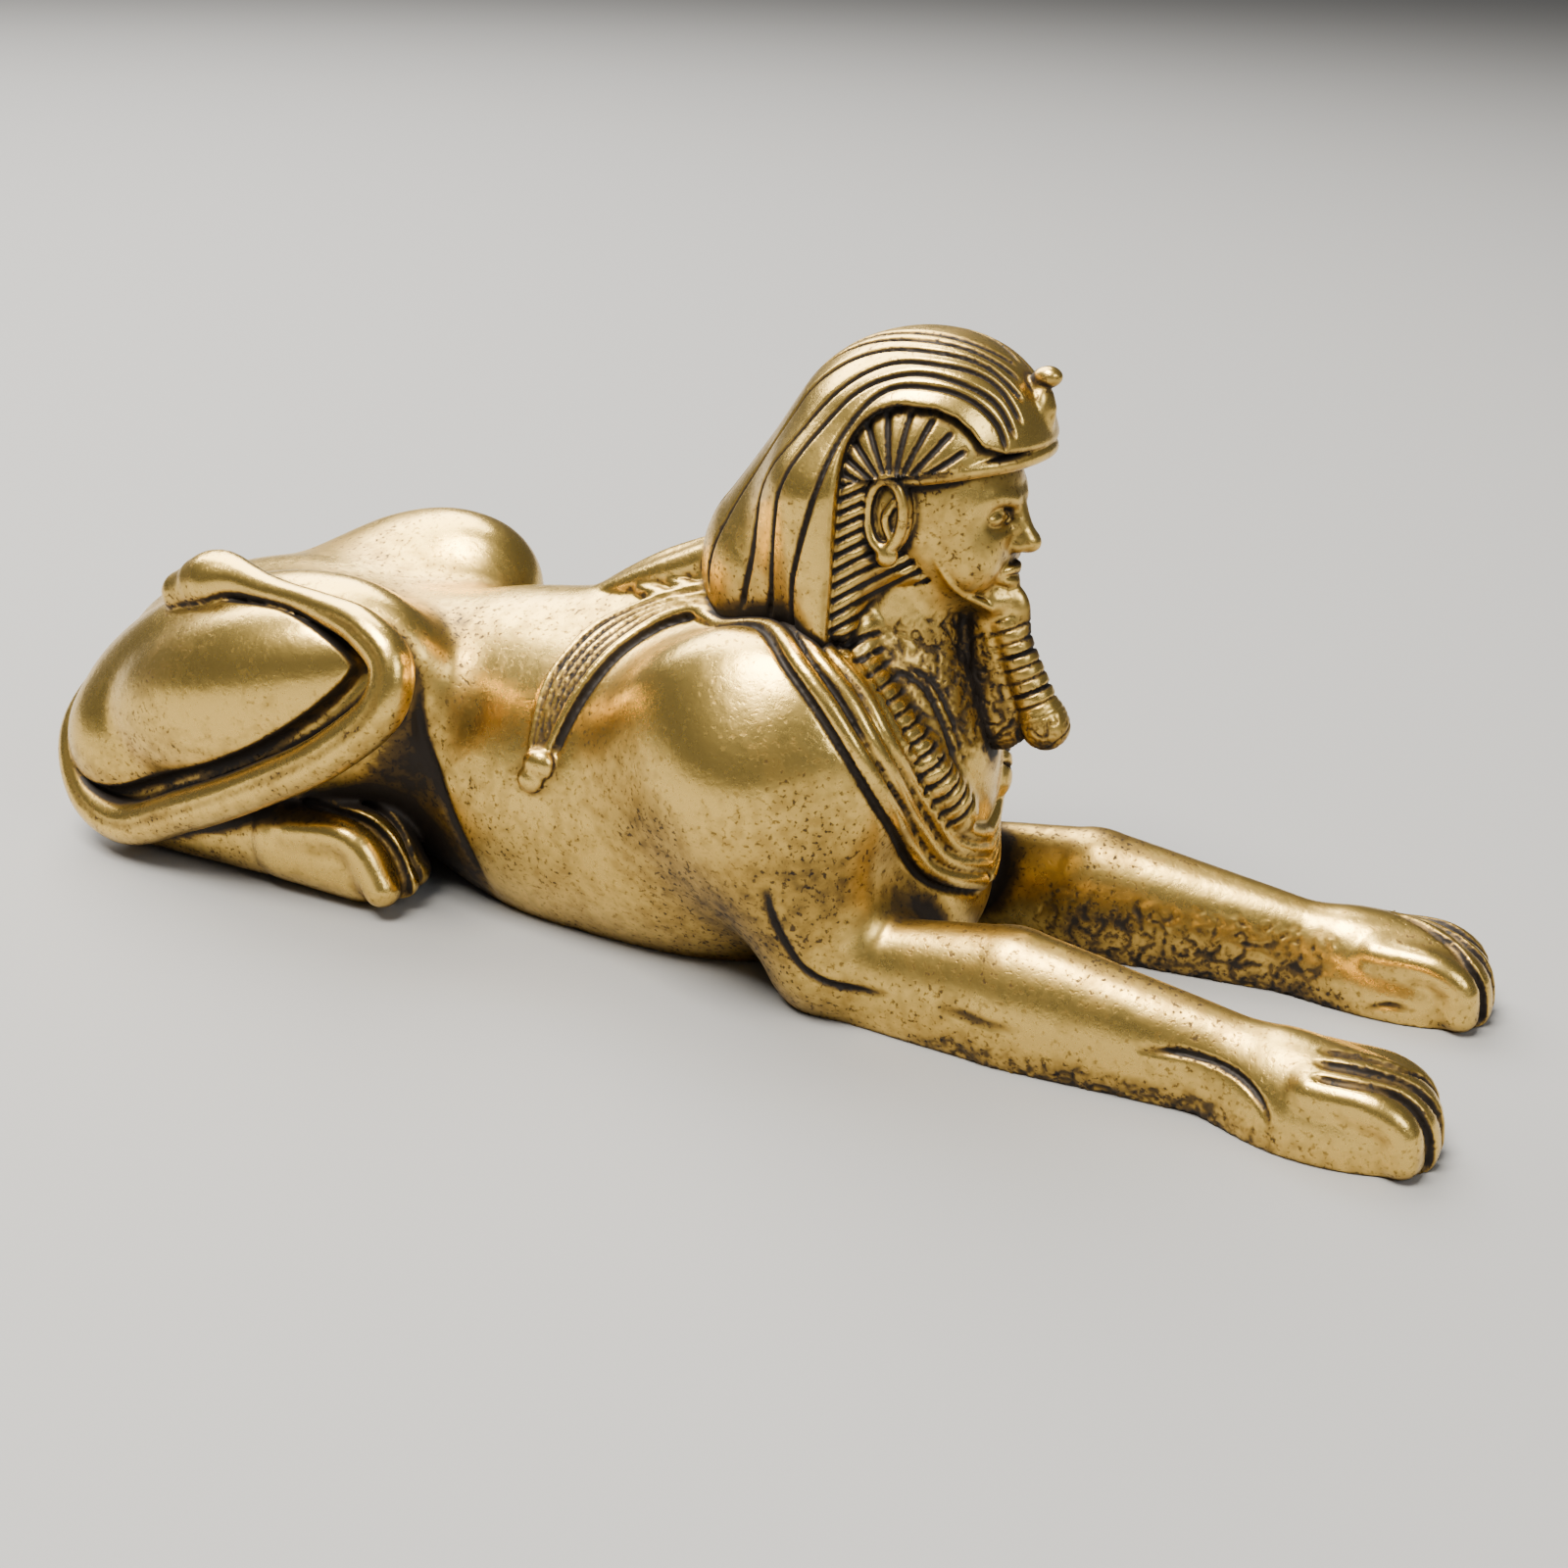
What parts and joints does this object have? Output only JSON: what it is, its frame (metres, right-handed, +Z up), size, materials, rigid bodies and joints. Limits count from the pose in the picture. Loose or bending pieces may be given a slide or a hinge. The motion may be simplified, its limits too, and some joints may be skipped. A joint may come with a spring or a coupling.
{
  "type": "sphinx figurine",
  "caption": "Small solid brass figurine of a reclining sphinx with forelegs stretched out, a striped headcloth with a rearing cobra, a ribbed false beard and a curled tail.",
  "frame": {"origin": "on the flat underside, below the rib cage and in the mid-plane of the body", "axes": "+X the way the sphinx faces, +Y to its left, +Z up"},
  "size_m": [0.0747, 0.023, 0.0317],
  "materials": {
    "brass": "antique brass, polished on the raised forms with dark brown patina in the carving"
  },
  "bodies": {
    "root": {"sphinx": "brass"}
  },
  "joints": []
}
